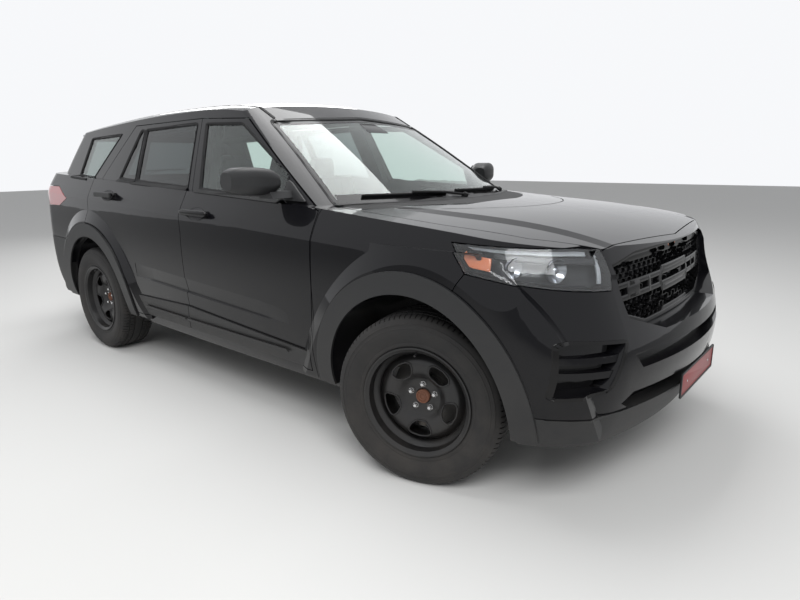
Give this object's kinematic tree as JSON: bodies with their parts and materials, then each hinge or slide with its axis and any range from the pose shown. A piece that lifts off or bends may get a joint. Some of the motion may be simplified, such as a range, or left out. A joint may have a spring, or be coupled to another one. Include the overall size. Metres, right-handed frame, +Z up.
{
  "type": "five-door police utility car, steel wheels",
  "caption": "Black five-door police utility vehicle with opening doors, hood and liftgate, steered front wheels and rolling steel wheels.",
  "frame": {"origin": "on the ground at mid-length on the centre line", "axes": "+X forward, +Y to the car's left, +Z up"},
  "size_m": [5.0522, 2.268, 1.7484],
  "materials": {
    "body_paint": "gloss",
    "trim_plastic": "matte",
    "gloss_plastic": "gloss",
    "window_glass": "gloss",
    "lamp_clear": "gloss",
    "lamp_red": "gloss",
    "tyre_rubber": "matte",
    "wheel_steel": "satin",
    "cast_metal": "matte",
    "floor_steel": "matte",
    "cabin_plastic": "matte",
    "seat_cloth": "matte",
    "mirror_glass": "gloss",
    "lug_chrome": "gloss",
    "plate_metal": "gloss"
  },
  "bodies": {
    "root": {"arch_trims": "trim_plastic", "body_sides": "body_paint", "dashboard": "cabin_plastic", "engine_block": "cast_metal", "fenders": "body_paint", "fixed_glass": "window_glass", "front_bumper": "body_paint", "front_plate": "plate_metal", "front_seats": "seat_cloth", "front_suspension": "cast_metal", "front_valance": "trim_plastic", "grille": "gloss_plastic", "headlamps": "lamp_clear", "rear_bumper": "trim_plastic", "rear_seats": "seat_cloth", "rear_suspension": "cast_metal", "roof": "body_paint", "steering_wheel": "cabin_plastic", "tail_lamps": "lamp_red", "underbody": "floor_steel"},
    "front_door_left": {"front_door_left": "body_paint", "front_door_glass_left": "window_glass", "front_door_trim_left": "trim_plastic", "mirror_left": "trim_plastic"},
    "rear_door_left": {"rear_door_left": "body_paint", "rear_door_glass_left": "window_glass", "rear_door_trim_left": "trim_plastic"},
    "knuckle_left": {"knuckle_left": "cast_metal"},
    "wheel_front_left": {"tyre_front_left": "tyre_rubber", "rim_front_left": "wheel_steel"},
    "wheel_rear_left": {"tyre_rear_left": "tyre_rubber", "rim_rear_left": "wheel_steel"},
    "front_door_right": {"front_door_right": "body_paint", "front_door_glass_right": "window_glass", "front_door_trim_right": "trim_plastic", "mirror_right": "trim_plastic"},
    "rear_door_right": {"rear_door_right": "body_paint", "rear_door_glass_right": "window_glass", "rear_door_trim_right": "trim_plastic"},
    "knuckle_right": {"knuckle_right": "cast_metal"},
    "wheel_front_right": {"tyre_front_right": "tyre_rubber", "rim_front_right": "wheel_steel"},
    "wheel_rear_right": {"tyre_rear_right": "tyre_rubber", "rim_rear_right": "wheel_steel"},
    "hood": {"hood": "body_paint"},
    "liftgate": {"liftgate": "body_paint", "liftgate_glass": "window_glass", "gate_lamps": "lamp_red"}
  },
  "joints": [
    {"name": "steering_left", "type": "hinge", "parent": "root", "child": "knuckle_left", "pos_m": [1.635, 0.85, 0.3815], "axis": [0, 0, 1], "range_deg": [-50.8, 19.2]},
    {"name": "wheel_front_left_spin", "type": "hinge", "parent": "knuckle_left", "child": "wheel_front_left", "pos_m": [1.635, 0.85, 0.3815], "axis": [-0.2723, 0.9622, 0], "continuous": true},
    {"name": "wheel_rear_left_spin", "type": "hinge", "parent": "root", "child": "wheel_rear_left", "pos_m": [-1.39, 0.85, 0.3815], "axis": [0, 1, 0], "continuous": true},
    {"name": "front_door_left_swing", "type": "hinge", "parent": "root", "child": "front_door_left", "pos_m": [1.038, 0.99, 0.8], "axis": [0, 0, -1], "range_deg": [0, 68]},
    {"name": "rear_door_left_swing", "type": "hinge", "parent": "root", "child": "rear_door_left", "pos_m": [-0.1, 0.99, 0.8], "axis": [0, 0, -1], "range_deg": [0, 70]},
    {"name": "steering_right", "type": "hinge", "parent": "root", "child": "knuckle_right", "pos_m": [1.635, -0.85, 0.3815], "axis": [0, 0, 1], "range_deg": [-50.8, 19.2]},
    {"name": "wheel_front_right_spin", "type": "hinge", "parent": "knuckle_right", "child": "wheel_front_right", "pos_m": [1.635, -0.85, 0.3815], "axis": [-0.2723, 0.9622, 0], "continuous": true},
    {"name": "wheel_rear_right_spin", "type": "hinge", "parent": "root", "child": "wheel_rear_right", "pos_m": [-1.39, -0.85, 0.3815], "axis": [0, 1, 0], "continuous": true},
    {"name": "front_door_right_swing", "type": "hinge", "parent": "root", "child": "front_door_right", "pos_m": [1.038, -0.99, 0.8], "axis": [0, 0, 1], "range_deg": [0, 68]},
    {"name": "rear_door_right_swing", "type": "hinge", "parent": "root", "child": "rear_door_right", "pos_m": [-0.1, -0.99, 0.8], "axis": [0, 0, 1], "range_deg": [0, 70]},
    {"name": "hood_lift", "type": "hinge", "parent": "root", "child": "hood", "pos_m": [1.05, 0, 1.175], "axis": [0, -1, 0], "range_deg": [0, 55]},
    {"name": "liftgate_lift", "type": "hinge", "parent": "root", "child": "liftgate", "pos_m": [-2.042, 0, 1.655], "axis": [0, 1, 0], "range_deg": [0, 85]}
  ],
  "couplings": [
    {"joint": "steering_right", "follows": "steering_left", "ratio": 1}
  ]
}
